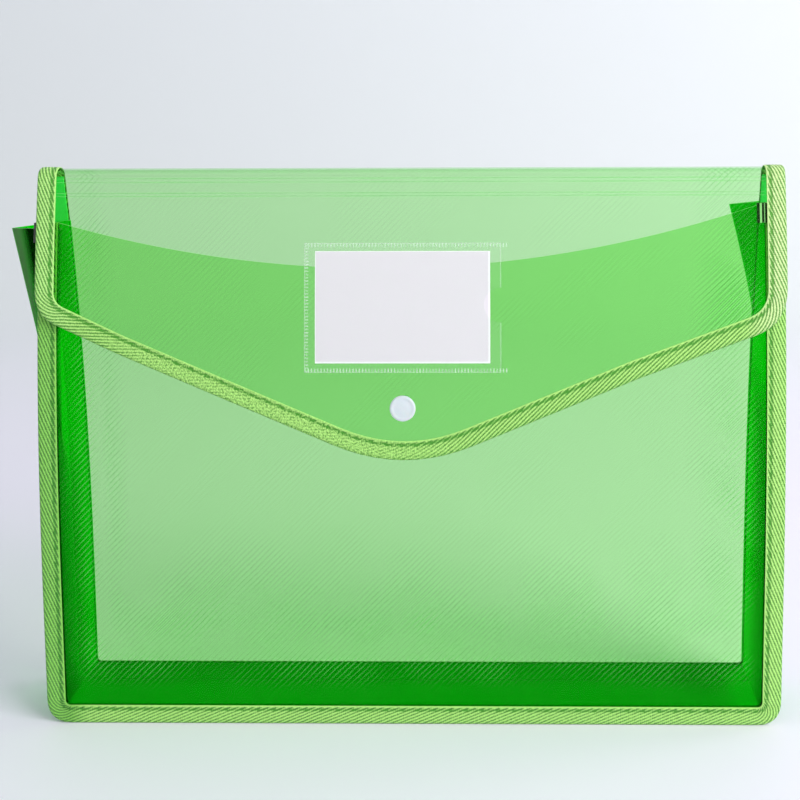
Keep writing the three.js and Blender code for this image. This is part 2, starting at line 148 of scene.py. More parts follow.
def linear(hex_colour):
    """An sRGB hex colour as linear red, green and blue."""
    values = [int(hex_colour[i : i + 2], 16) / 255 for i in (1, 3, 5)]
    return [v / 12.92 if v <= 0.04045 else ((v + 0.055) / 1.055) ** 2.4 for v in values]


def colour_property(name, description, hex_colour):
    return bpy.props.FloatVectorProperty(
        name=name,
        description=description,
        subtype="COLOR",
        size=3,
        min=0,
        max=1,
        default=linear(hex_colour),
    )


def length_property(name, description, millimetres):
    return bpy.props.FloatProperty(
        name=name,
        description=description,
        subtype="DISTANCE",
        unit="LENGTH",
        precision=5,
        min=0,
        default=millimetres / 1000,
    )


class PouchSizes(bpy.types.PropertyGroup):
    """Sizes of the stock and of its surface patterns"""

    sheet: length_property("Sheet", "Thickness of the leaves and the flap", 0.6)
    film: length_property("Gusset film", "Thickness of the gussets", 0.5)
    tape_face: length_property("Tape face", "Width of the tape on one side of a leaf", TAPE_FACE)
    emboss_pitch: length_property("Emboss pitch", "Spacing of the sheet's slanted lines", 1.92)
    twill_pitch: length_property("Twill pitch", "Spacing of the tape's slanted ribs", 1.35)
    stitch_spacing: length_property("Stitch spacing", "Spacing of the sewing holes", 7.2)
    weld_pitch: length_property("Weld pitch", "Spacing of the weld's bars", 1.4)
    weld_length: length_property("Weld length", "Length of one bar of the weld", 1.9)


class PouchColours(bpy.types.PropertyGroup):
    """Colours of the stock"""

    sheet: colour_property("Flap sheet", "What the flap lets through", "#C9F5BC")
    front_leaf: colour_property("Front leaf", "What the front leaf lets through", "#BAF3A9")
    back_leaf: colour_property("Back leaf", "What the backlit back leaf lets through", "#F3FCF1")
    film: colour_property("Side film", "What the side gussets let through", "#08E218")
    floor_film: colour_property("Floor film", "What the lowest gusset lets through", "#04D812")
    # The tape runs from the groove colour in its hollows, a painted shade, to the crown colour on
    # its ribs, a painted highlight.
    tape: colour_property("Tape", "Crowns of the woven ribs", "#BAF480")
    groove: colour_property("Tape grooves", "Hollows between the ribs", "#42961E")
    card: colour_property("Card", "Blank label card", "#ECE7EC")
    snap: colour_property("Snap", "Moulded snap fastener", "#D9E3E5")
    clip: colour_property("Clip", "Plated seam clips", "#C9CBC8")
    floor: colour_property("Floor", "Paper under the pouch", "#F5F0FF")
    backdrop: colour_property("Backdrop", "Paper behind the pouch", "#F2F5F8")


# Shape of the leaves


def clear_half(z):
    """Half the clear depth between the leaves, which lean together towards the top."""
    down = np.clip((HEIGHT - np.asarray(z, float)) / (HEIGHT - UPRIGHT_BELOW), 0, 1)
    return HALF_DEPTH * (1 - (1 - down) ** LEAN_POWER)


def place(x, y, z):
    """Points in the frame's metres from arrays of millimetres."""
    x, y, z = np.broadcast_arrays(x, y, z)
    return np.stack([x, y + BACK_SEAM_Y, z], -1) / 1000


def leaf_point(leaf, x, s, off):
    """A point on a leaf: s runs up it, and over the fold for the flap, and off runs out of it."""
    x, s, off = np.broadcast_arrays(*(np.asarray(v, float) for v in (x, s, off)))
    height = np.minimum(s, FOLD_START)
    slope = clear_half(height + 0.5) - clear_half(height - 0.5)
    depth = clear_half(height) + off * np.hypot(1, slope)
    if leaf == "back":
        return place(x, depth, s)
    if leaf == "front":
        return place(x, -depth, s)
    angle = np.maximum(s - FOLD_START, 0) / FOLD_QUARTER * math.pi / 2
    past = off - FLAP_MIDDLE
    over = s > FOLD_START
    y = np.where(over, CREASE_Y - (FOLD_REACH + past) * np.cos(angle), -depth)
    z = np.where(over, FOLD_START + (FOLD_RISE + past) * np.sin(angle), s)
    return place(x, y, z)


def leaf_half(s):
    """Half the width of a leaf's sheet at height s, less where its bottom corners are rounded."""
    below = np.clip(LEAF_CORNER - np.asarray(s, float), 0, LEAF_CORNER)
    return HALF_WIDTH - 1 - LEAF_CORNER + np.sqrt(LEAF_CORNER**2 - below**2)


def seat(z, middle):
    """Where a fitting sits on a leaf: a point in metres and the two directions in side view."""
    slope = float(clear_half(z + 0.5) - clear_half(z - 0.5))
    size = math.hypot(1, slope)
    out = np.array([0, -1 / size, -slope / size])
    up = np.array([0, -slope / size, 1 / size])
    return leaf_point("front", FITTINGS_X, z, middle), out, up


# Outlines, as points across a leaf (x) and up it (s)


def inset_corners(corners, inset):
    """An open run of corners with every side moved in, to the left of its direction."""
    corners = np.asarray(corners, float)
    along = np.diff(corners, axis=0)
    along /= np.linalg.norm(along, axis=1)[:, None]
    inward = np.stack([-along[:, 1], along[:, 0]], 1)
    moved = [corners[0] + inward[0] * inset]
    for i in range(1, len(corners) - 1):
        bisector = inward[i - 1] + inward[i]
        reach = inset / (1 + inward[i - 1] @ inward[i])
        moved.append(corners[i] + bisector * reach)
    moved.append(corners[-1] + inward[-1] * inset)
    return np.array(moved)


def rounded_run(corners, radii, counts, bend=10):
    """Points along an open run of corners, each rounded by a quadratic curve."""
    points = []
    start = corners[0]
    for i in range(1, len(corners)):
        last = i == len(corners) - 1
        if last:
            end = corners[i]
        else:
            before = corners[i - 1] - corners[i]
            after = corners[i + 1] - corners[i]
            before /= np.linalg.norm(before)
            after /= np.linalg.norm(after)
            half = math.acos(float(np.clip(before @ after, -1, 1))) / 2
            reach = radii[i] / math.tan(half)
            end = corners[i] + before * reach
        for share in np.linspace(0, 1, counts[i - 1], endpoint=False):
            points.append(start + (end - start) * share)
        if last:
            points.append(end)
            break
        leave = corners[i] + after * reach
        for t in np.linspace(0, 1, bend, endpoint=False):
            points.append((1 - t) ** 2 * end + 2 * t * (1 - t) * corners[i] + t**2 * leave)
        start = leave
    return np.array(points)


def tape_lines(corners, radii, face, step=3.0):
    """The outer and inner edges of a tape, point for point."""
    corners = np.asarray(corners, float)
    counts = [max(2, int(np.linalg.norm(d) / step)) for d in np.diff(corners, axis=0)]
    inner_radii = [max(radius - face, 0.6) if radius else 0 for radius in radii]
    outer = rounded_run(corners, radii, counts)
    inner = rounded_run(inset_corners(corners, face), inner_radii, counts)
    return outer, inner


def leaf_corners(left_top, right_top):
    """The corners of a leaf's open outline, down its left side and up its right side."""
    return [(-HALF_WIDTH, left_top), (-HALF_WIDTH, 0), (HALF_WIDTH, 0), (HALF_WIDTH, right_top)]


def flap_corners():
    sides = [(x, z) for x, z, _ in FLAP_CORNERS]
    return [(-HALF_WIDTH, FOLD_END), *sides, (HALF_WIDTH, FOLD_END)]


def flap_radii():
    return [0, *(radius for _, _, radius in FLAP_CORNERS), 0]


# Meshes


def finish_piece(name, bm, materials, smooth=35):
    bmesh.ops.recalc_face_normals(bm, faces=bm.faces)
    mesh = bpy.data.meshes.new(name)
    bm.to_mesh(mesh)
    mesh.uv_layers[0].name = "UVMap"
    bm.free()
    for material in materials:
        mesh.materials.append(material)
    mesh.shade_smooth()
    mesh.set_sharp_from_angle(angle=math.radians(smooth))
    piece = bpy.data.objects.new(name, mesh)
    bpy.context.scene.collection.objects.link(piece)
    return piece


def steps_along(points):
    """How far along a run of points each one lies."""
    return np.concatenate([[0], np.cumsum(np.linalg.norm(np.diff(points, axis=0), axis=1))])


def directions(points):
    """The unit direction of a run of points at each one."""
    along = np.gradient(points, axis=0)
    return along / np.linalg.norm(along, axis=1)[:, None]


def grid_faces(bm, rings, uvs, closed=False):
    """Quads between rows of vertices, with a texture place in mm for each vertex."""
    layer = bm.loops.layers.uv.verify()
    where = {}
    for ring, places in zip(rings, uvs):
        for vertex, spot in zip(ring, places):
            where[vertex] = spot
    for low, high in zip(rings, rings[1:]):
        last = len(low) if closed else len(low) - 1
        for i in range(last):
            j = (i + 1) % len(low)
            face = bm.faces.new((low[i], low[j], high[j], high[i]))
            for loop in face.loops:
                loop[layer].uv = where[loop.vert]


def tube(bm, rings, uvs):
    """Quads between closed rows of vertices, and the faces over the two ends, which it returns."""
    grid_faces(bm, rings, uvs, closed=True)
    return [bm.faces.new(ring) for ring in (rings[0], rings[-1])]


def slab(name, leaf, x, s, outer, inner, materials):
    """A closed sheet on a leaf from grids of x and s, between two offsets."""
    bm = bmesh.new()
    layer = bm.loops.layers.uv.verify()
    rows, columns = x.shape
    sides = []
    for off in (outer, inner):
        points = leaf_point(leaf, x, s, off)
        sides.append([[bm.verts.new(points[r, c]) for c in range(columns)] for r in range(rows)])
    uvs = [[(x[r, c], s[r, c]) for c in range(columns)] for r in range(rows)]
    for rings in sides:
        grid_faces(bm, rings, uvs)
    front, back = sides
    rim = [(0, c) for c in range(columns)]
    rim += [(r, columns - 1) for r in range(1, rows)]
    rim += [(rows - 1, c) for c in range(columns - 2, -1, -1)]
    rim += [(r, 0) for r in range(rows - 2, 0, -1)]
    for (ra, ca), (rb, cb) in zip(rim, rim[1:] + rim[:1]):
        face = bm.faces.new((front[ra][ca], front[rb][cb], back[rb][cb], back[ra][ca]))
        face.material_index = len(materials) - 1
        for loop, (r, c) in zip(face.loops, ((ra, ca), (rb, cb), (rb, cb), (ra, ca))):
            loop[layer].uv = uvs[r][c]
    return finish_piece(name, bm, materials)


def strip(name, leaf, lines, face, section, materials):
    """A closed tube along a tape's lines. section holds (distance in from the edge, offset)."""
    outer, inner = lines
    section = np.asarray(section, float)
    share = section[:, 0] / face
    x = outer[:, None, 0] + (inner - outer)[:, None, 0] * share[None, :]
    s = outer[:, None, 1] + (inner - outer)[:, None, 1] * share[None, :]
    points = leaf_point(leaf, x, s, section[None, :, 1])
    bm = bmesh.new()
    rings = [[bm.verts.new(p) for p in row] for row in points]
    uvs = [[(u, v) for v in steps_along(section)] for u in steps_along(outer)]
    tube(bm, rings, uvs)
    return finish_piece(name, bm, materials)


def finish_part(piece, section, chosen):
    """Gives a strip's faces its second material where chosen holds for the section's offset."""
    points = {k for k, (_, off) in enumerate(section) if chosen(off)}
    for side in piece.data.polygons:
        if all(v % len(section) in points for v in side.vertices):
            side.material_index = 1


def tape_section(face, inner, outer, under=None):
    """The folded tape's section: its outer skin from edge to edge, then its inner skin back.

    under is how far in the tape reaches on the leaf's other side.
    """
    under = under or face
    middle = (inner + outer) / 2
    half = (outer - inner) / 2
    swell = 0.06
    skin = [(face, half - 0.3), (face - 0.12, half - 0.06)]
    for share in (0.85, 0.7, 0.5, 0.3):
        skin.append((face * share, half + swell * math.sin(math.pi * share)))
    skin += [(1.1, half), (0.55, half - 0.12), (0.18, half - 0.42), (0, half - 0.85)]
    under_skin = half - TAPE
    lining = [(face, under_skin + 0.05), (face * 0.5, under_skin), (1.2, under_skin)]
    lining.append((0.6, half - 0.95))
    front = [(d, middle + off) for d, off in skin]
    back = [(min(d, under), middle - off) for d, off in reversed(skin)]
    back_lining = [(min(d, under), middle - off) for d, off in lining]
    front_lining = [(d, middle + off) for d, off in reversed(lining)]
    return front + back + back_lining + front_lining


def turned(name, profile, middle, materials, sides=72):
    """A piece turned about a fitting's axis. profile holds (radius, height above the sheet)."""
    spot, out, up = seat(SNAP_Z, middle)
    right = np.array([1.0, 0, 0])
    bm = bmesh.new()
    rings = []
    uvs = []
    turn = np.linspace(0, 2 * math.pi, sides)
    for radius, height in profile:
        ring = []
        for k in range(sides):
            angle = 2 * math.pi * k / sides
            radial = (right * math.cos(angle) + up * math.sin(angle)) * max(radius, 0.001)
            ring.append(bm.verts.new(spot + (radial + out * height) / 1000))
        rings.append(ring)
        uvs.append(list(zip(radius * np.cos(turn), radius * np.sin(turn))))
    tube(bm, rings, uvs)
    return finish_piece(name, bm, materials, smooth=50)


# Materials


def add(tree, kind, inputs=(), **settings):
    """Adds a node. Its inputs, in order or by key, are values, sockets or nodes."""
    node = tree.nodes.new("ShaderNode" + kind)
    for name, value in settings.items():
        setattr(node, name, value)
    pairs = inputs.items() if isinstance(inputs, dict) else enumerate(inputs)
    for key, value in pairs:
        if isinstance(value, bpy.types.Node):
            value = next(socket for socket in value.outputs if socket.enabled)
        if isinstance(value, bpy.types.NodeSocket):
            tree.links.new(value, node.inputs[key])
        else:
            node.inputs[key].default_value = value
    return node


def new_material(name):
    """A material without nodes, and its tree."""
    material = bpy.data.materials.new(name)
    material.use_nodes = True
    material.node_tree.nodes.clear()
    return material, material.node_tree


def shown(material, shader):
    """The material, with the shader as what it shows."""
    add(material.node_tree, "OutputMaterial", {"Surface": shader})
    return material


def opaque(colour):
    """A colour with full alpha."""
    return (*colour, 1.0)


def texture_place(tree):
    """The texture's place in mm and its parts: across and up a sheet, or along and into a tape."""
    spot = add(tree, "UVMap", uv_map="UVMap")
    axes = add(tree, "SeparateXYZ", [spot])
    return spot, axes.outputs[0], axes.outputs[1]


def joined(tree, operation, ramps):
    """Ramps of (value, start, end, from, to), joined by one operation."""
    whole = add(tree, "MapRange", ramps[0])
    for ramp in ramps[1:]:
        whole = add(tree, "Math", [whole, add(tree, "MapRange", ramp)], operation=operation)
    return whole


def uneven_skin(tree, spot, scale, detail, strength, distance):
    """Noise with its scale in 1/mm, and the bump that it raises on the surface."""
    noise = add(tree, "TexNoise", {"Vector": spot, "Scale": scale, "Detail": detail})
    raised = {"Strength": strength, "Distance": distance, "Height": noise}
    return noise, add(tree, "Bump", raised)


def slanted_lines(tree, place_in, pitch, lean, sharpness):
    """Ridges from 0 to 1 that lean across the texture's millimetres."""
    spot, across, up = place_in
    wobble = add(tree, "TexNoise", {"Vector": spot, "Scale": 0.05, "Detail": 2.0})
    leaning = add(tree, "Math", [up, lean], operation="MULTIPLY")
    phase = add(tree, "Math", [across, leaning], operation="ADD")
    drift = add(tree, "Math", [wobble, pitch * 0.6, phase], operation="MULTIPLY_ADD")
    turns = add(tree, "Math", [drift, 2 * math.pi / pitch], operation="MULTIPLY")
    wave = add(tree, "Math", [turns], operation="SINE")
    lifted = add(tree, "Math", [wave, 0.5, 0.5], operation="MULTIPLY_ADD")
    return add(tree, "Math", [lifted, sharpness], operation="POWER")


def see_through(tree, let_through, body, share, roughness, normal, skin_share=0.12):
    """Tinted film: light passes straight through, a little scatters, and the skin mirrors."""
    passed = add(tree, "BsdfTransparent", {"Color": let_through})
    scattered = add(
        tree,
        "BsdfPrincipled",
        {"Base Color": body, "Roughness": 0.6, "Specular IOR Level": 0.0, "Normal": normal},
    )
    filled = add(tree, "MixShader", [share, passed, scattered])
    mirror = add(tree, "Fresnel", {"IOR": PLASTIC_IOR, "Normal": normal})
    skin = add(tree, "Math", [mirror, skin_share], operation="MULTIPLY")
    gloss = add(
        tree,
        "BsdfAnisotropic",
        {"Color": (0.25, 0.9, 0.25, 1), "Roughness": roughness, "Normal": normal},
    )
    return add(tree, "MixShader", [skin, filled, gloss])


def embossed_polypropylene(name, let_through, sizes, scores=(), past_fold=None):
    """Calendered polypropylene embossed with slanted lines: a clear tint hatched by fine ridges.

    The ridges scatter light, so they show dark on the pale middle and pale over the dark gussets.
    They are pressed deepest towards the sides and the foot, and fade out at the seams.
    """
    material, tree = new_material(name)
    place_in = spot, across, up = texture_place(tree)
    lines = slanted_lines(tree, place_in, sizes.emboss_pitch * 1000 * math.sqrt(2), -1.0, 7.0)
    right, left = (across, 126, 141, 0.06, 0.8), (across, -137, -146, 0.06, 1)
    wide = joined(tree, "MAXIMUM", [right, left, (up, 82, 30, 0, 0.8)])
    right, left = (across, 148.5, 155, 1, 0.1), (across, -151, -145, 0.12, 0.8)
    calm = joined(tree, "MULTIPLY", [right, left, (up, 16, 27, 0.1, 1)])
    pressed = add(tree, "Math", [wide, calm], operation="MULTIPLY")
    cloud = add(tree, "TexNoise", {"Vector": spot, "Scale": 0.03, "Detail": 1.0})
    uneven = add(tree, "MapRange", [cloud, 0.38, 0.6, 0.25, 1])
    depth = add(tree, "Math", [pressed, uneven], operation="MULTIPLY")
    height = add(tree, "Math", [lines, depth], operation="MULTIPLY")
    for s in scores:
        near = add(tree, "Math", [up, s, SCORE_HALF], operation="COMPARE")
        faint = add(tree, "Math", [near, cloud], operation="MULTIPLY")
        height = add(tree, "Math", [height, faint], operation="MAXIMUM")
    share = add(tree, "MapRange", {"Value": height, "To Min": 0.001, "To Max": 0.32})
    bump = add(tree, "Bump", {"Strength": 0.4, "Distance": 0.0001, "Height": height})
    per_skin = [math.sqrt(v) for v in let_through]
    plain, ridged = (opaque(v**power for v in per_skin) for power in (0.95, 1.8))
    tint = add(tree, "Mix", {0: height, 6: plain, 7: ridged}, data_type="RGBA")
    if past_fold:
        bent = add(tree, "MapRange", {"Value": up, "From Min": 249, "From Max": 254})
        clear = opaque(math.sqrt(v) for v in past_fold)
        tint = add(tree, "Mix", {0: bent, 6: tint, 7: clear}, data_type="RGBA")
    body = opaque(v * part for v, part in zip(let_through, (0.6, 0.9, 0.7)))
    return shown(material, see_through(tree, tint, body, share, 0.38, bump))


def guillotined_edge(colours):
    """Cut edge of the sheet: it gathers the light in the sheet and shows as a pale line."""
    material, tree = new_material("guillotined_edge")
    pale = opaque(0.5 + 0.5 * v for v in colours.sheet)
    return shown(material, add(tree, "BsdfPrincipled", {"Base Color": pale, "Roughness": 0.5}))


def dyed_gusset_film(name, dye, share, shade_fade, pleated=False):
    """Blown film dyed deep green: glossy, saturated, and darker by the seam, a painted shade.

    The argument after share is the texture axis and the two millimetre marks between which the
    painted shade lifts; it lifts towards the mouth too.
    """
    material, tree = new_material(name)
    spot, *axes = texture_place(tree)
    _, bump = uneven_skin(tree, spot, 0.05, 2.0, 0.4, 0.0006)
    axis, start, end = shade_fade
    # Painted shade: darker towards one seam, lighter along the axis and up towards the mouth.
    mouth = (axes[1], 115, 165, 0, 1)
    lighter = joined(tree, "MAXIMUM", [(axes[axis], start, end, 0, 1), mouth])
    per_skin = [math.sqrt(v) for v in dye]
    # The darker tint and the dark body are the painted shade.
    shaded_tint = opaque(v * 0.66 for v in per_skin)
    tint = add(tree, "Mix", {0: lighter, 6: shaded_tint, 7: opaque(per_skin)}, data_type="RGBA")
    dark, light = (0.0, dye[1] * 0.3, 0.003, 1), (0.0, dye[1] * 0.9, 0.01, 1)
    body = add(tree, "Mix", {0: lighter, 6: dark, 7: light}, data_type="RGBA")
    if pleated:
        tint, body, share = shaded_pleat(tree, axes, tint, body, share)
    return shown(material, see_through(tree, tint, body, share, 0.25, bump, 0.06))


def shaded_pleat(tree, axes, tint, body, share):
    """The pleat's front half: near-black green by the seam, a painted shade, and paler and greyer
    out at the crease, a painted reflection.

    Near the mouth the back half lets almost all the green through and is painted bright, as painted
    light from behind, so it hides little of the back tape.
    """
    across, up = axes
    mouth = add(tree, "MapRange", [up, 110, 190, 0, 1])
    front = add(tree, "Math", [across, 0.0], operation="LESS_THAN")
    behind = add(tree, "Math", [1.0, front], operation="SUBTRACT")
    lit_back_half = add(tree, "Math", [mouth, behind], operation="MULTIPLY")
    clear_of_seam = add(tree, "Math", [across, -14.0], operation="GREATER_THAN")
    ear = add(tree, "Math", [mouth, front], operation="MULTIPLY")
    ear = add(tree, "Math", [ear, clear_of_seam], operation="MULTIPLY")
    inward = add(tree, "MapRange", [across, -8, -4, 1, 0])
    shade = add(tree, "Math", [inward, ear], operation="MULTIPLY")
    outward = add(tree, "MapRange", [across, -9, -3, 0, 1])
    pale = add(tree, "Math", [outward, ear], operation="MULTIPLY")
    crease = add(tree, "Math", [across, 0.0, 0.4], operation="COMPARE")
    line = add(tree, "Math", [crease, mouth], operation="MULTIPLY")
    # Painted light and shade in steps: the back half lit from behind, a painted reflection greying
    # the ear towards the crease, painted shade by the seam, and a pale line along the crease.
    steps = (
        (lit_back_half, (0.0, 0.75, 0.01, 1), (0.002, 0.97, 0.004, 1)),
        (pale, (0.38, 0.62, 0.32, 1), (0.03, 0.42, 0.03, 1)),
        (shade, (0.0, 0.06, 0.0, 1), (0.0, 0.12, 0.0, 1)),
        (line, (0.3, 0.6, 0.25, 1), (0.2, 0.6, 0.2, 1)),
    )
    for factor, scattered, passed in steps:
        body = add(tree, "Mix", {0: factor, 6: body, 7: scattered}, data_type="RGBA")
        tint = add(tree, "Mix", {0: factor, 6: tint, 7: passed}, data_type="RGBA")
    less = add(tree, "Math", [lit_back_half, 0.12 - share, share], operation="MULTIPLY_ADD")
    return tint, body, less


def film_bonded_tape():
    """Gusset film bonded over the tape's inner face: smooth, saturated green with a wavy edge,
    painted near full brightness as painted light from behind.
    """
    material, tree = new_material("film_bonded_tape")
    spot = add(tree, "UVMap", uv_map="UVMap")
    waves, bump = uneven_skin(tree, spot, 0.12, 2.0, 0.3, 0.0005)
    # Both colours are painted bright, painted light that stands for light through the tape from
    # behind.
    low, high = (0.05, 0.8, 0.13, 1), (0.12, 0.96, 0.26, 1)
    colour = add(tree, "Mix", {0: waves, 6: low, 7: high}, data_type="RGBA")
    film = add(
        tree,
        "BsdfPrincipled",
        {"Base Color": colour, "Roughness": 0.4, "Specular IOR Level": 0.05, "Normal": bump},
    )
    return shown(material, film)


def woven_polyester_tape(name, colours, sizes, left=(1, 1, 1), right=(1, 1, 1), worn_slope=False):
    """Twill binding tape: steep ribs, a firm bright selvedge and a groove pulled in by the seam.

    left and right multiply the runs up the sides by painted shade or painted light, and worn_slope
    fuzzes the ribs left of the middle.
    """
    material, tree = new_material(name)
    place_in = spot, along, in_from_edge = texture_place(tree)
    pitch = sizes.twill_pitch * 1000 * math.hypot(1, RIB_LEAN)
    twill = slanted_lines(tree, place_in, pitch, RIB_LEAN, 0.6)
    where = add(tree, "TexCoord")
    sideways = add(tree, "SeparateXYZ", [where.outputs["Object"]])
    crossing = add(tree, "Math", [along, 2 * math.pi / WEFT_PITCH], operation="MULTIPLY")
    weft = add(tree, "Math", [crossing], operation="SINE")
    if worn_slope:
        starts, ends = (sideways, -0.14, -0.11, 1, 0.3), (sideways, -0.02, 0.03, 0, 0.7)
        firm_ribs = joined(tree, "ADD", [starts, ends])
        even = 0.8
        above = add(tree, "Math", [twill, even], operation="SUBTRACT")
        twill = add(tree, "Math", [above, firm_ribs, even], operation="MULTIPLY_ADD")
        speckle = add(tree, "Math", [1.25, firm_ribs], operation="SUBTRACT")
    weave = add(tree, "Math", [weft, 0.08, twill], operation="MULTIPLY_ADD")
    fuzz = add(tree, "TexNoise", {"Vector": spot, "Scale": 1.1, "Detail": 3.0})
    loops = add(tree, "MapRange", [fuzz, 0.36, 0.64, 0.1, 0.5])
    if worn_slope:
        centred = add(tree, "Math", [loops, 0.3], operation="SUBTRACT")
        grow = add(tree, "Math", [speckle, 1.6, 0.6], operation="MULTIPLY_ADD")
        loops = add(tree, "Math", [centred, grow, 0.2], operation="MULTIPLY_ADD")
    woven = add(tree, "Math", [weave, loops], operation="ADD")
    beside = add(tree, "Math", [in_from_edge, SEWN_AT], operation="SUBTRACT")
    beside = add(tree, "Math", [beside], operation="ABSOLUTE")
    cell = add(tree, "Math", [along, sizes.stitch_spacing * 500], operation="PINGPONG")
    sewn = joined(tree, "MULTIPLY", [(beside, 0.3, 1.05, 1, 0), (cell, 0.3, 1.6, 0.95, 0.55)])
    sunk = add(tree, "Math", [woven, sewn], operation="SUBTRACT")
    rim = add(tree, "MapRange", [in_from_edge, 6.8, 8.5, 0, 0.3])
    turned_in = add(tree, "Math", [sunk, rim], operation="SUBTRACT")
    selvedge = add(tree, "Math", [in_from_edge, 0.7], operation="LESS_THAN")
    teeth = add(tree, "Math", [loops, 0.5, 1.0], operation="MULTIPLY_ADD")
    firm = add(tree, "Math", [selvedge, teeth], operation="MULTIPLY")
    height = add(tree, "Math", [turned_in, firm], operation="MAXIMUM")
    # The relief's height picks the colour, from the groove colour, a painted shade, to the crown
    # colour, a painted highlight, as well as the bump.
    ramp = add(tree, "MapRange", {"Value": height, "From Min": 0.2, "From Max": 1.2})
    groove, crown = opaque(colours.groove), opaque(colours.tape)
    colour = add(tree, "Mix", {0: ramp, 6: groove, 7: crown}, data_type="RGBA")
    # Painted shade or painted light on the runs up the sides.
    for tint, start, end in ((left, -0.146, -0.154), (right, 0.146, 0.158)):
        reach = add(tree, "MapRange", {"Value": sideways, "From Min": start, "From Max": end})
        mixed = {0: reach, 6: colour, 7: opaque(tint)}
        colour = add(tree, "Mix", mixed, data_type="RGBA", blend_type="MULTIPLY")
    bump = add(tree, "Bump", {"Strength": 1.0, "Distance": 0.0004, "Height": height})
    thread = {"Base Color": colour, "Roughness": 0.6, "Normal": bump}
    thread.update({"Sheen Weight": 0.2, "Sheen Roughness": 0.4})
    return shown(material, add(tree, "BsdfPrincipled", thread))


def near_edge(tree, axes, box, width):
    """1 within width of the edges of a box in the texture's millimetres, else 0."""
    edge = None
    for axis, side in ((1, "low"), (1, "high"), (0, "left"), (0, "right")):
        close = add(tree, "Math", [axes[axis], box[side], width], operation="COMPARE")
        if edge:
            close = add(tree, "Math", [edge, close], operation="MAXIMUM")
        edge = close
    return edge


def welded_clear_film():
    """Clear film drawn tight over the card: only its gloss and its pale cut edges show."""
    material, tree = new_material("welded_clear_film")
    spot, *axes = texture_place(tree)
    ripple, bump = uneven_skin(tree, spot, 0.06, 2.0, 0.3, 0.0006)
    haze = add(tree, "MapRange", {"Value": ripple, "To Min": 0.01, "To Max": 0.03})
    edge = near_edge(tree, axes, WINDOW, 0.35)
    share = add(tree, "Math", [edge, 0.14, haze], operation="MULTIPLY_ADD")
    clear, body = (0.998, 0.998, 0.998, 1), (0.93, 0.96, 0.94, 1)
    return shown(material, see_through(tree, clear, body, share, 0.2, bump))


def heat_weld():
    """Weld bars pressed by a toothed roller: half-clear glossy beads of melted film."""
    material, tree = new_material("heat_weld")
    spot = add(tree, "UVMap", uv_map="UVMap")
    uneven, grain = uneven_skin(tree, spot, 0.2, 3.0, 0.2, 0.0001)
    share = add(tree, "MapRange", [uneven, 0.35, 0.65, 0.14, 0.4])
    clear, body = (0.97, 1.0, 0.97, 1), (0.8, 0.95, 0.8, 1)
    return shown(material, see_through(tree, clear, body, share, 0.25, grain))


def uncoated_card(colours):
    """Uncoated label card: matt white, faintly mottled by its fibre, with lighter cut edges."""
    material, tree = new_material("uncoated_card")
    spot, *axes = texture_place(tree)
    fibre, bump = uneven_skin(tree, spot, 1.8, 6.0, 0.15, 0.00005)
    dark = opaque(v * 0.95 for v in colours.card)
    colour = add(tree, "Mix", {0: fibre, 6: dark, 7: opaque(colours.card)}, data_type="RGBA")
    hidden = 0.45
    seen = {**CARD, "high": CARD["high"] + hidden, "left": CARD["left"] - hidden}
    edge = near_edge(tree, axes, seen, 0.75)
    white = opaque(min(v * 1.28, 1) for v in colours.card)
    rim = add(tree, "Mix", {0: edge, 6: colour, 7: white}, data_type="RGBA")
    paper = {"Base Color": rim, "Roughness": 0.85, "Normal": bump}
    return shown(material, add(tree, "BsdfPrincipled", paper))


def moulded_acetal(colours):
    """Injection-moulded acetal snap: smooth, waxy white with a soft highlight."""
    material, tree = new_material("moulded_acetal")
    spot = add(tree, "UVMap", uv_map="UVMap")
    flow = add(tree, "TexNoise", {"Vector": spot, "Scale": 0.5, "Detail": 3.0})
    dark = opaque(v * 0.93 for v in colours.snap)
    colour = add(tree, "Mix", {0: flow, 6: dark, 7: opaque(colours.snap)}, data_type="RGBA")
    waxy = {"Base Color": colour, "Roughness": 0.35}
    waxy.update({"Subsurface Weight": 0.15, "Subsurface Scale": 0.002})
    return shown(material, add(tree, "BsdfPrincipled", waxy))


def nickel_plated_steel(name, colour):
    """Pressed strip, nickel plated, with fine drawing lines; its colour is painted: near-black on
    the flats as a painted dark reflection, bright on the ribs as a painted highlight.
    """
    material, tree = new_material(name)
    spot = add(tree, "UVMap", uv_map="UVMap")
    stretch = add(tree, "Mapping", {"Vector": spot, "Scale": (0.4, 9.0, 1.0)})
    drawn, bump = uneven_skin(tree, stretch, 1.0, 3.0, 0.2, 0.00005)
    roughness = add(tree, "MapRange", {"Value": drawn, "To Min": 0.18, "To Max": 0.4})
    metal = {"Base Color": opaque(colour), "Metallic": 1.0, "Roughness": roughness, "Normal": bump}
    return shown(material, add(tree, "BsdfPrincipled", metal))


def seamless_paper(colours):
    """Roll of background paper: matt and even, a touch warmer where it lies flat."""
    material, tree = new_material("seamless_paper")
    where = add(tree, "TexCoord")
    axes = add(tree, "SeparateXYZ", [where.outputs["Object"]])
    far = add(tree, "MapRange", {"Value": axes.outputs[1], "From Min": 0.3, "From Max": 1.0})
    floor, backdrop = opaque(colours.floor), opaque(colours.backdrop)
    colour = add(tree, "Mix", {0: far, 6: floor, 7: backdrop}, data_type="RGBA")
    grain = add(tree, "TexNoise", {"Scale": 300.0, "Detail": 2.0})
    bump = add(tree, "Bump", {"Strength": 0.05, "Distance": 0.0002, "Height": grain})
    paper = {"Base Color": colour, "Roughness": 0.9, "Specular IOR Level": 0.2, "Normal": bump}
    return shown(material, add(tree, "BsdfPrincipled", paper))


def edge_material(colours):
    """The cut edge, made once for the sheets and the films."""
    return bpy.data.materials.get("guillotined_edge") or guillotined_edge(colours)


# Operators


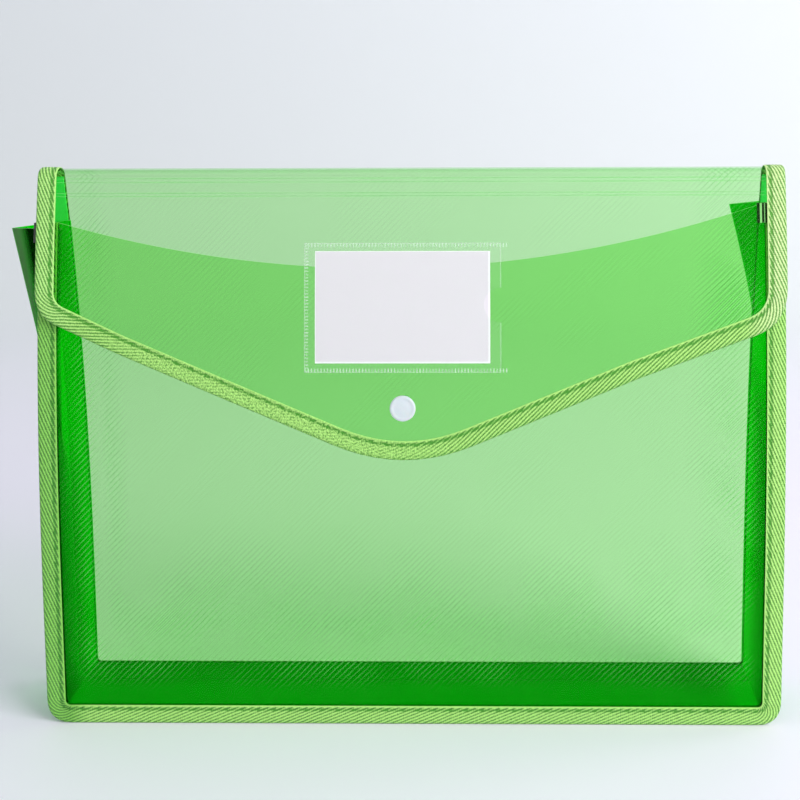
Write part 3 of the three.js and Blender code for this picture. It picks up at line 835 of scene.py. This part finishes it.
class POUCH_OT_sheets(bpy.types.Operator):
    """Build the back leaf, the front leaf and the flap that folds over the top"""

    bl_idname = "pouch.sheets"
    bl_label = "Leaves and Flap"

    def execute(self, context):
        colours, sizes = context.scene.pouch_colours, context.scene.pouch_sizes
        half = sizes.sheet * 500
        backlit = embossed_polypropylene("backlit_embossed_polypropylene", colours.back_leaf, sizes)
        plain = embossed_polypropylene("embossed_polypropylene", colours.front_leaf, sizes)
        flap, past = colours.sheet, colours.back_leaf
        scored = embossed_polypropylene("scored_polypropylene", flap, sizes, SCORES, past)
        edge = edge_material(colours)
        self.back(half, [backlit, edge])
        self.front(half, [plain, edge])
        self.flap(half, [scored, edge])
        return {"FINISHED"}

    def back(self, half, materials):
        low = np.linspace(SHEET_FOOT, LEAF_CORNER, 12)
        heights = np.concatenate([low, np.linspace(14, FOLD_START, 66)])
        x, s = np.meshgrid(np.linspace(-1, 1, 60), heights)
        x = x * leaf_half(s)
        outer, inner = SHEET_MIDDLE + half, SHEET_MIDDLE - half
        piece = slab("back_sheet", "back", x, s, outer, inner, materials)
        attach(piece, "back")
        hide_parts("back_panel")

    def front(self, half, materials):
        rows = np.concatenate([np.linspace(0, 0.045, 12), np.linspace(0.06, 1, 56)])
        x, share = np.meshgrid(np.linspace(-1, 1, 90), rows)
        x = x * leaf_half(SHEET_FOOT + (FRONT_TOP_LEFT - SHEET_FOOT) * share)
        s = SHEET_FOOT + (front_top(x) - SHEET_FOOT) * share
        outer, inner = SHEET_MIDDLE + half, SHEET_MIDDLE - half
        piece = slab("front_sheet", "front", x, s, outer, inner, materials)
        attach(piece, "front")
        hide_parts("front_panel")

    def flap(self, half, materials):
        """The flap's sheet, which reaches into its tape."""
        _, inner = tape_lines(flap_corners(), flap_radii(), FLAP_SHEET_INSET)
        over = np.linspace(FOLD_START, FOLD_END, 25)[1:]
        s = np.concatenate([np.linspace(124, 200, 70), np.linspace(201, FOLD_START, 34), over])
        tip = int(np.argmin(inner[:, 1]))
        left = np.interp(s, inner[: tip + 1, 1][::-1], inner[: tip + 1, 0][::-1])
        right = np.interp(s, inner[tip:, 1], inner[tip:, 0])
        share = np.linspace(0, 1, 80)
        x = left[:, None] + (right - left)[:, None] * share[None, :]
        s = np.repeat(s[:, None], x.shape[1], axis=1)
        piece = slab("flap_sheet", "flap", x, s, FLAP_MIDDLE + half, FLAP_MIDDLE - half, materials)
        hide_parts("flap_panel")
        over_fold(piece)


def front_top(x):
    """Height of the front leaf's top edge, with its shallow hollow."""
    reach = HALF_WIDTH - TAPE_FACE
    t = np.clip((reach - np.asarray(x, float)) / (2 * reach), 0, 1)
    dip = 2 * FRONT_TOP_MIDDLE - (FRONT_TOP_LEFT + FRONT_TOP_RIGHT) / 2
    return (1 - t) ** 2 * FRONT_TOP_RIGHT + 2 * t * (1 - t) * dip + t**2 * FRONT_TOP_LEFT


def over_fold(piece):
    """A piece that crosses the fold: the fold's two sides are worked out but not used, and the
    piece's transform is baked into its mesh.
    """
    start = place(0, CREASE_Y + FOLD_REACH - 0.5, FOLD_START)
    end = place(0, CREASE_Y - FOLD_REACH + 0.5, FOLD_START)
    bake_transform(piece)


def between_leaves(piece):
    """A film held in both seams: two points across the mouth are worked out but not used, and the
    piece's transform is baked into its mesh.
    """
    start = tuple(map(float, place(0, 10, 120)))
    end = tuple(map(float, place(0, -10, 120)))
    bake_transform(piece)


class POUCH_OT_bindings(bpy.types.Operator):
    """Fold woven tape over the edges of both leaves and the flap"""

    bl_idname = "pouch.bindings"
    bl_label = "Woven Bindings"

    def execute(self, context):
        sizes = context.scene.pouch_sizes
        face = sizes.tape_face * 1000
        colours = context.scene.pouch_colours
        stock = colours, sizes
        # Painted shade darkens the front tape's left run; painted light makes the flap tape's side
        # runs paler, most on the right.
        shade = (0.54, 0.75, 0.46)
        gleam = (1.1, 1.06, 1.2), (1.5, 1.09, 1.9)
        tape = woven_polyester_tape("woven_polyester_tape", *stock)
        shaded_tape = woven_polyester_tape("shaded_polyester_tape", *stock, left=shade)
        flap_tape = woven_polyester_tape("worn_and_painted_light_polyester_tape", *stock, *gleam, worn_slope=True)
        seam = tape_section(face, 0, SEAM)
        corners = leaf_corners(FOLD_START, FOLD_START)
        radii = [0, LEAF_CORNER, LEAF_CORNER, 0]
        lined = [tape, film_bonded_tape()]
        lines = tape_lines(corners, radii, face)
        piece = strip("back_tape", "back", lines, face, seam, lined)
        finish_part(piece, seam, lambda off: off < SEAM / 2 - 0.9)  # towards the documents
        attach(piece, "back")
        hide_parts("back_binding")
        lines = tape_lines(leaf_corners(FRONT_TOP_LEFT, FRONT_TOP_RIGHT), radii, face)
        piece = strip("front_tape", "front", lines, face, seam, [shaded_tape])
        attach(piece, "front")
        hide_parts("front_binding")
        under = face - FLAP_TAPE_SHORTER
        section = tape_section(face, FLAP_TAPE_INNER, FLAP_TAPE_OUTER, under)
        lines = tape_lines(flap_corners(), flap_radii(), face, step=2.0)
        piece = strip("flap_tape", "flap", lines, face, section, [flap_tape])
        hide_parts("flap_binding")
        over_fold(piece)
        return {"FINISHED"}


class POUCH_OT_gussets(bpy.types.Operator):
    """Build the pleated side gussets and the gusset under the documents"""

    bl_idname = "pouch.gussets"
    bl_label = "Gussets"

    def execute(self, context):
        colours = context.scene.pouch_colours
        edge = edge_material(colours)
        thickness = context.scene.pouch_sizes.film * 1000
        # The last entry of side ramps the painted shade: darker towards the front seam, lighter
        # towards the back. The left pleat's film also carries the pleat's painted shade and painted
        # reflection.
        side = colours.film, 0.2, (0, -22.0, 13.0)
        film = dyed_gusset_film("dyed_gusset_film", *side)
        pleated = dyed_gusset_film("shaded_pleat_gusset_film", *side, pleated=True)
        # The floor film's painted shade deepens towards its back seam.
        floor = dyed_gusset_film("dyed_floor_film", colours.floor_film, 0.3, (1, 110.0, 20.0))
        self.side("left_pleat", LEFT_PLEAT, thickness, [pleated, edge], "left_gusset")
        self.side("right_pleat", RIGHT_PLEAT, thickness, [film, edge], "right_gusset")
        self.bottom(thickness, [floor, edge])
        return {"FINISHED"}

    def section(self, pleat, z):
        """Plan of the film at height z: x beyond the middle, y, and its share of the pleat."""
        fade = min(max((z - pleat["fades"]) / (pleat["top"] - pleat["fades"]), 0), 1)
        reach = pleat["reach"] * fade ** pleat["easing"]
        flange_y = float(clear_half(z)) + FILM_MIDDLE
        wall_y = float(clear_half(z)) - FILM_MIDDLE / 2
        seam_x = HALF_WIDTH - TAPE_FACE
        wall_x = seam_x - GUSSET_TURN
        flange = [(seam_x + 7.2, 0), (seam_x - 0.3, 0), (wall_x + 0.1, 0.15)]
        blunt = 0.12
        full = math.hypot(1, blunt)
        points = [(x, down - flange_y, 0) for x, down in flange]
        for across in np.linspace(0, 1, 29):
            lift = (full - math.hypot(abs(2 * across - 1), blunt)) / (full - blunt)
            points.append((wall_x + reach * lift, wall_y * (2 * across - 1), lift))
        points += [(x, flange_y - down, 0) for x, down in reversed(flange)]
        return np.array(points)

    def side(self, name, pleat, thickness, materials, node):
        """A strip of film in two skins, from the floor to the mouth, closed round its rim."""
        bm = bmesh.new()
        layer = bm.loops.layers.uv.verify()
        bottom = GUSSET_FLOOR - 0.3
        skins = [[], []]
        uvs = []
        for share in np.linspace(0, 1, 56):
            plan = self.section(pleat, bottom + (pleat["top"] - bottom) * share)
            slump = pleat["slump"] * np.where(plan[:, 1] < 0, 1 - plan[:, 2], 0)
            heights = bottom + (pleat["top"] - pleat["drop"] * plan[:, 2] - slump - bottom) * share
            along = directions(plan[:, :2])
            across = np.stack([along[:, 1], -along[:, 0]], 1)
            length = steps_along(plan[:, :2])
            length -= length[-1] / 2
            for skin, way in zip(skins, (1, -1)):
                moved = plan[:, :2] + across * way * thickness / 2
                points = place(pleat["side"] * moved[:, 0], moved[:, 1], heights)
                skin.append([bm.verts.new(p) for p in points])
            uvs.append(list(zip(length, heights)))
        for skin in skins:
            grid_faces(bm, skin, uvs)
        out, inn = skins
        rim = [[(o[end], i[end]) for o, i in zip(out, inn)] for end in (0, -1)]
        rim += [list(zip(out[end], inn[end])) for end in (0, -1)]
        for pairs in rim:
            for (a, b), (c, d) in zip(pairs, pairs[1:]):
                face = bm.faces.new((a, b, d, c))
                face.material_index = 1
                for loop in face.loops:
                    loop[layer].uv = (0, 0)
        piece = finish_piece(name, bm, materials)
        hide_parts(node)
        between_leaves(piece)

    def bottom(self, thickness, materials):
        """One channel of film, its folds rounded, with a short flange down into each seam."""
        seam_y = HALF_DEPTH + FILM_MIDDLE
        path = [(-seam_y, GUSSET_FLOOR - 4)]
        for angle in np.linspace(0, math.pi / 2, 6):
            turn_y, turn_z = 1 - math.cos(angle), math.sin(angle) - 1
            path.append((FLOOR_BEND * turn_y - seam_y, GUSSET_FLOOR + FLOOR_BEND * turn_z))
        middle = [
            (y, GUSSET_FLOOR - 0.25 * math.cos(y / seam_y * math.pi / 2))
            for y in np.linspace(-18, 18, 13)
        ]
        path += middle + [(-y, z) for y, z in reversed(path)]
        path = np.array(path)
        along = directions(path)
        normal = np.stack([-along[:, 1], along[:, 0]], 1)
        length = steps_along(path)
        bm = bmesh.new()
        half_length = HALF_WIDTH - TAPE_FACE - GUSSET_TURN
        rings = []
        uvs = []
        step = normal * thickness / 2
        loop_path = np.concatenate([path + step, (path - step)[::-1]])
        loop_length = np.concatenate([length, length[::-1]])
        for x in np.linspace(-half_length, half_length, 60):
            rings.append([bm.verts.new(p) for p in place(x, loop_path[:, 0], loop_path[:, 1])])
            uvs.append([(x, v) for v in loop_length])
        for end in tube(bm, rings, uvs):
            end.material_index = 1
        piece = finish_piece("floor_film", bm, materials)
        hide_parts("bottom_gusset")
        between_leaves(piece)


class POUCH_OT_label(bpy.types.Operator):
    """Build the label pocket's film, its weld and the card in it"""

    bl_idname = "pouch.label"
    bl_label = "Label Pocket"

    def execute(self, context):
        colours, sizes = context.scene.pouch_colours, context.scene.pouch_sizes
        self.film(welded_clear_film())
        self.weld(sizes, heat_weld())
        self.card(uncoated_card(colours))
        return {"FINISHED"}

    def film(self, material):
        """The film rises over the card from its weld, and has a thumb notch on the right."""
        low, high, left, right = (WINDOW[side] for side in ("low", "high", "left", "right"))
        notch = NOTCH["z"] + NOTCH["radius"] * np.cos(np.linspace(math.pi, 0, 25))
        below, above = np.linspace(low, notch[0] - 1, 24), np.linspace(notch[-1] + 1, high, 24)
        s = np.concatenate([below, notch, above])
        bite = np.sqrt(np.clip(NOTCH["radius"] ** 2 - (s - NOTCH["z"]) ** 2, 0, None))
        share = np.linspace(0, 1, 60) ** 1.1
        x = left + (right - bite - left)[:, None] * share[None, :]
        s = np.repeat(s[:, None], x.shape[1], axis=1)
        inside = np.minimum(np.minimum(x - left, s - low), high - s)
        rise = np.clip((inside - WINDOW["weld"] * 0.8) / 3, 0, 1)
        rise = rise * rise * (3 - 2 * rise)
        base = FLAP_MIDDLE + POCKET_SEAT + rise * POCKET_RISE
        piece = slab("pocket_film", "flap", x, s, base + POCKET_FILM, base, [material])
        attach(piece, "flap")
        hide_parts("label_window")

    def weld(self, sizes, material):
        """Rows of short bars across the weld line on three sides of the film."""
        pitch = sizes.weld_pitch * 1000
        length = sizes.weld_length * 1000
        inset = length / 2
        bm = bmesh.new()
        bars = []
        for x in np.arange(WINDOW["left"] + 0.4, WINDOW["right"] + 2.4, pitch):
            bars += [(x, WINDOW["high"] - inset, 0, 1), (x, WINDOW["low"] + inset, 0, 1)]
        for s in np.arange(WINDOW["low"] + 0.6, WINDOW["high"] - 1.0, pitch):
            bars.append((WINDOW["left"] + inset, s, 1, 0))
        for spot in bars:
            self.bar(bm, *spot, length / 2, pitch * 0.25)
        piece = finish_piece("pocket_weld", bm, [material], smooth=60)
        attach(piece, "flap")

    def bar(self, bm, x, s, across, up, half, wide):
        """One bar, half round and narrower towards its ends."""
        rings = []
        for reach, narrow in ((-1, 0.35), (-0.8, 0.85), (0, 1), (0.8, 0.85), (1, 0.35)):
            ring = []
            for angle in np.linspace(0, math.pi, 6):
                side = math.cos(angle) * wide * narrow
                rise = WELD_SEAT + math.sin(angle) * WELD_HEIGHT * narrow
                bx = x + across * reach * half + up * side
                bs = s + up * reach * half + across * side
                ring.append(bm.verts.new(leaf_point("flap", bx, bs, FLAP_MIDDLE + rise)))
            rings.append(ring)
        tube(bm, rings, [[(x, s)] * 6] * 5)

    def card(self, material):
        across = np.linspace(CARD["left"], CARD["right"], 40)
        x, s = np.meshgrid(across, np.linspace(CARD["low"], CARD["high"], 30))
        outer, inner = FLAP_MIDDLE + CARD_OUTER, FLAP_MIDDLE + CARD_INNER
        piece = slab("blank_card", "flap", x, s, outer, inner, [material])
        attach(piece, "card")
        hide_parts("label_card")


class POUCH_OT_snap(bpy.types.Operator):
    """Build the snap fastener's four parts"""

    bl_idname = "pouch.snap"
    bl_label = "Snap Fastener"

    def execute(self, context):
        plastic = [moulded_acetal(context.scene.pouch_colours)]
        cap = [(0, -1), (1.3, -1), (1.3, 0.35), (5.2, 0.35), (5.5, 0.5), (5.7, 0.8), (5.7, 1.1)]
        cap += [(5.6, 1.4), (5.35, 1.62), (4.95, 1.75), (4.5, 1.74), (4.1, 1.62), (3.6, 1.6)]
        cap += [(2.4, 1.72), (1.2, 1.8), (0, 1.82)]
        self.part("cap_disc", cap, FLAP_MIDDLE, "flap", "snap_cap", plastic)
        socket = [(1.6, -1.1), (2.6, -1.1), (2.6, -2.4), (4.5, -2.4), (4.9, -2.1), (5, -1.8)]
        socket += [(5, -1), (4.85, -0.7), (4.6, -0.6), (1.6, -0.6)]
        self.part("socket_ring", socket, FLAP_MIDDLE, "flap", "snap_socket", plastic)
        stud = [(0, 0.6), (4.5, 0.6), (4.8, 0.75), (4.7, 1), (4.4, 1.1), (1.7, 1.1), (1.5, 1.3)]
        stud += [(1.5, 1.6), (1.85, 1.9), (1.85, 2.15), (1.6, 2.38), (1, 2.42), (0, 2.42)]
        self.part("stud_post", stud, SHEET_MIDDLE, "front", "snap_stud", plastic)
        base = [(0, -1.4), (3, -1.36), (4.2, -1.2), (4.7, -0.9), (4.8, -0.6), (1, -0.6)]
        base += [(1, 0.3), (0, 0.3)]
        self.part("stud_foot", base, SHEET_MIDDLE, "front", "snap_stud_base", plastic)
        return {"FINISHED"}

    def part(self, name, profile, middle, body, node, materials):
        piece = turned(name, profile, middle, materials)
        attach(piece, body)
        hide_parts(node)


class POUCH_OT_clips(bpy.types.Operator):
    """Press a metal clip round each open end of the front seams"""

    bl_idname = "pouch.clips"
    bl_label = "Seam Clips"

    def execute(self, context):
        plate = context.scene.pouch_colours.clip
        # The flats get near-black plate, a painted dark reflection; the ribs get bright plate, a
        # painted highlight.
        metal = [
            nickel_plated_steel("painted_dark_nickel_plate", [v * 0.06 for v in plate]),
            nickel_plated_steel("painted_highlight_nickel_plate", [min(v * 1.6, 1) for v in plate]),
        ]
        self.clip("left_crimp", -1, FRONT_TOP_LEFT, "left_clip", metal, 1.5, 9)
        self.clip("right_crimp", 1, FRONT_TOP_RIGHT, "right_clip", metal, 0, 13.1)
        return {"FINISHED"}

    def clip(self, name, side, top, node, materials, proud, width):
        """A strip bent round the seam, with two ribs pressed out of its front face."""
        edge = HALF_WIDTH + 0.7 + proud
        middle = np.linspace(top - 8, top - 0.6, 8)
        heights = np.concatenate([[top - 8.6, top - 8.45], middle, [top - 0.15, top]])
        outer = np.array([(side * edge, z) for z in heights])
        inner = np.array([(side * (edge - 1), z) for z in heights])
        front = [(0, 3.3), (0.05, 3.6), (0.25, 3.7), (1.1, 3.7), (1.2, 4.05), (1.6, 4.1)]
        front += [(2.1, 4.1), (2.2, 3.7), (3, 3.7), (3.1, 4.05), (3.35, 4.1), (3.7, 4.05)]
        front += [(3.8, 3.7), (width - 2, 3.7)]
        front = [(width - d, off) for d, off in front]
        turn = [(0.7, 3.55), (0.2, 3.1), (0, 2.4), (0, 0.6), (0.2, -0.1), (0.7, -0.55)]
        back = [(1.6, -0.7), (6, -0.7), (6.2, -0.5), (6, -0.3), (1.8, -0.3), (0.9, -0.2)]
        back += [(0.55, 0.2), (0.45, 0.7)]
        lining = [(0.45, 2.3), (0.6, 3), (1, 3.25), (2, 3.3)]
        section = front + turn + back + lining
        piece = strip(name, "front", (outer, inner), 1, section, materials)
        # The ribs take the second plate, the painted highlight.
        finish_part(piece, section, lambda off: off > 4)  # the two ribs
        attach(piece, "front")
        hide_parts(node)


class POUCH_OT_stage(bpy.types.Operator):
    """Set the floor, the soft lights and the camera"""

    bl_idname = "pouch.stage"
    bl_label = "Stage"

    def execute(self, context):
        scene = context.scene
        self.paper(seamless_paper(scene.pouch_colours))
        self.lamp("key_softbox", (1.15, -0.9, 0.95), 1.0, 21)
        self.lamp("back_softbox", (1.5, 0.5, 1.1), 0.9, 7, (0.2, 1.3, 0.6))
        self.lamp("fill_softbox", (-1.3, -1.2, 0.9), 1.2, 2)
        self.world(scene)
        self.camera(scene)
        scene.view_settings.view_transform = "Standard"
        scene.cycles.transparent_max_bounces = 48
        return {"FINISHED"}

    def paper(self, material):
        """A floor that curves up into a backdrop."""
        bend, radius, half = SWEEP["bend"], SWEEP["radius"], SWEEP["half"]
        profile = [(SWEEP["front"], 0), (bend, 0)]
        for angle in np.linspace(0.1, math.pi / 2, 14):
            profile.append((bend + radius * math.sin(angle), radius - radius * math.cos(angle)))
        profile.append((bend + radius, SWEEP["top"]))
        bm = bmesh.new()
        rings = [[bm.verts.new((x, y, z)) for x in (-half, half)] for y, z in profile]
        grid_faces(bm, rings, [[(0, 0), (1, 1)]] * len(profile))
        piece = finish_piece("paper_sweep", bm, [material])

    def lamp(self, name, spot, size, watts, target=(0, -0.02, 0.12)):
        """A square softbox, aimed at the pouch unless told otherwise."""
        light = bpy.data.lights.new(name, "AREA")
        light.shape = "SQUARE"
        light.size = size
        light.energy = watts
        lamp = bpy.data.objects.new(name, light)
        bpy.context.scene.collection.objects.link(lamp)
        lamp.location = spot
        aim = np.array(target) - np.array(spot)
        flat = math.hypot(aim[0], aim[1])
        lamp.rotation_euler = (math.atan2(flat, -aim[2]), 0, math.atan2(-aim[0], aim[1]))

    def world(self, scene):
        """An even room, and a pale backdrop where camera, gloss or glass see past the paper."""
        world = bpy.data.worlds.new("soft_room")
        world.use_nodes = True
        tree = world.node_tree
        tree.nodes.clear()
        room = add(tree, "Background", {"Color": (0.96, 0.99, 1.0, 1), "Strength": 0.5})
        backdrop = add(tree, "Background", {"Color": (0.86, 0.88, 0.92, 1), "Strength": 1.0})
        ray = add(tree, "LightPath")
        seen = ray.outputs["Is Camera Ray"]
        for kind in ("Is Glossy Ray", "Is Transmission Ray"):
            seen = add(tree, "Math", [seen, ray.outputs[kind]], operation="MAXIMUM")
        add(tree, "OutputWorld", {"Surface": add(tree, "MixShader", [seen, room, backdrop])})
        scene.world = world

    def camera(self, scene):
        """The photograph's standpoint: right of the middle and a little above."""
        data = bpy.data.cameras.new("photo_camera")
        data.sensor_width = 36
        data.lens = FOCAL / PHOTO * data.sensor_width
        data.shift_x, data.shift_y = (pixels / PHOTO for pixels in SHIFT)
        data.clip_start = 0.01
        camera = bpy.data.objects.new("photo_camera", data)
        scene.collection.objects.link(camera)
        camera.location = tuple(map(float, place(*STANDPOINT)))
        camera.rotation_euler = TURN
        scene.camera = camera


STEPS = (
    POUCH_OT_sheets,
    POUCH_OT_bindings,
    POUCH_OT_gussets,
    POUCH_OT_label,
    POUCH_OT_snap,
    POUCH_OT_clips,
    POUCH_OT_stage,
)


class POUCH_PT_panel(bpy.types.Panel):
    """Lists the pouch's sizes, colours and building steps"""

    bl_idname = "POUCH_PT_panel"
    bl_label = "Document Pouch"
    bl_space_type = "VIEW_3D"
    bl_region_type = "UI"
    bl_category = "Pouch"

    def draw(self, context):
        layout = self.layout
        for group in (context.scene.pouch_sizes, context.scene.pouch_colours):
            box = layout.box()
            for name in group.__annotations__:
                box.prop(group, name)
        for step in STEPS:
            layout.operator(step.bl_idname)


CLASSES = (PouchSizes, PouchColours, *STEPS, POUCH_PT_panel)


def register():
    for cls in CLASSES:
        bpy.utils.register_class(cls)
    bpy.types.Scene.pouch_sizes = bpy.props.PointerProperty(type=PouchSizes)
    bpy.types.Scene.pouch_colours = bpy.props.PointerProperty(type=PouchColours)


def unregister():
    del bpy.types.Scene.pouch_colours
    del bpy.types.Scene.pouch_sizes
    for cls in reversed(CLASSES):
        bpy.utils.unregister_class(cls)


def main():
    register()
    bpy.ops.pouch.sheets()
    bpy.ops.pouch.bindings()
    bpy.ops.pouch.gussets()
    bpy.ops.pouch.label()
    bpy.ops.pouch.snap()
    bpy.ops.pouch.clips()
    bpy.ops.pouch.stage()


if __name__ == "__main__":
    main()
